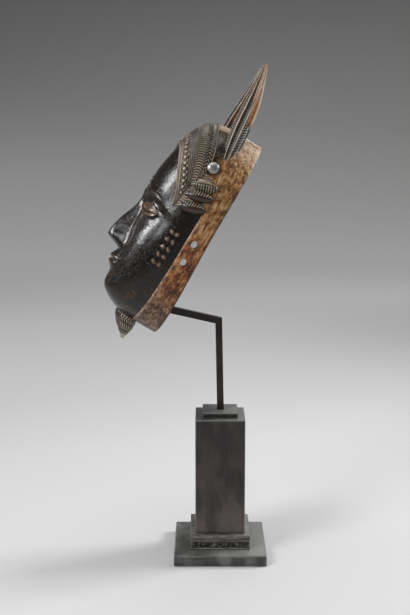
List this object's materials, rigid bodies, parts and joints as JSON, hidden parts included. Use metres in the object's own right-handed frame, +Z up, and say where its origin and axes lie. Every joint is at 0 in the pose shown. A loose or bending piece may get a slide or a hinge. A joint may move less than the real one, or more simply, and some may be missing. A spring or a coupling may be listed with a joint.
{
  "type": "baule face mask on stand",
  "caption": "Carved wooden face mask with a horned coiffure and a small beard, leaning back on a bent square steel bar that stands in a stepped wooden foot.",
  "frame": {"origin": "centre of the foot's underside, on the surface it stands on", "axes": "+Z up, -X the way the mask faces, +X the way it leans back, -Y the side nearest the camera in the picture"},
  "size_m": [0.2019, 0.1487, 0.6167],
  "materials": {
    "carved_wood": "glossy black patina over brown wood, worn light on the rim and the horns",
    "white_metal": "satin, slightly dulled",
    "dark_steel": "dark brown-black, matt",
    "foot_wood": "dark stain, satin, with a carved band on the step"
  },
  "bodies": {
    "root": {"mask": "carved_wood", "tack_near": "white_metal", "tack_far": "white_metal", "bracket": "dark_steel", "foot_plate": "foot_wood", "foot_step": "foot_wood", "foot_column": "foot_wood", "foot_cap": "foot_wood"}
  },
  "joints": []
}
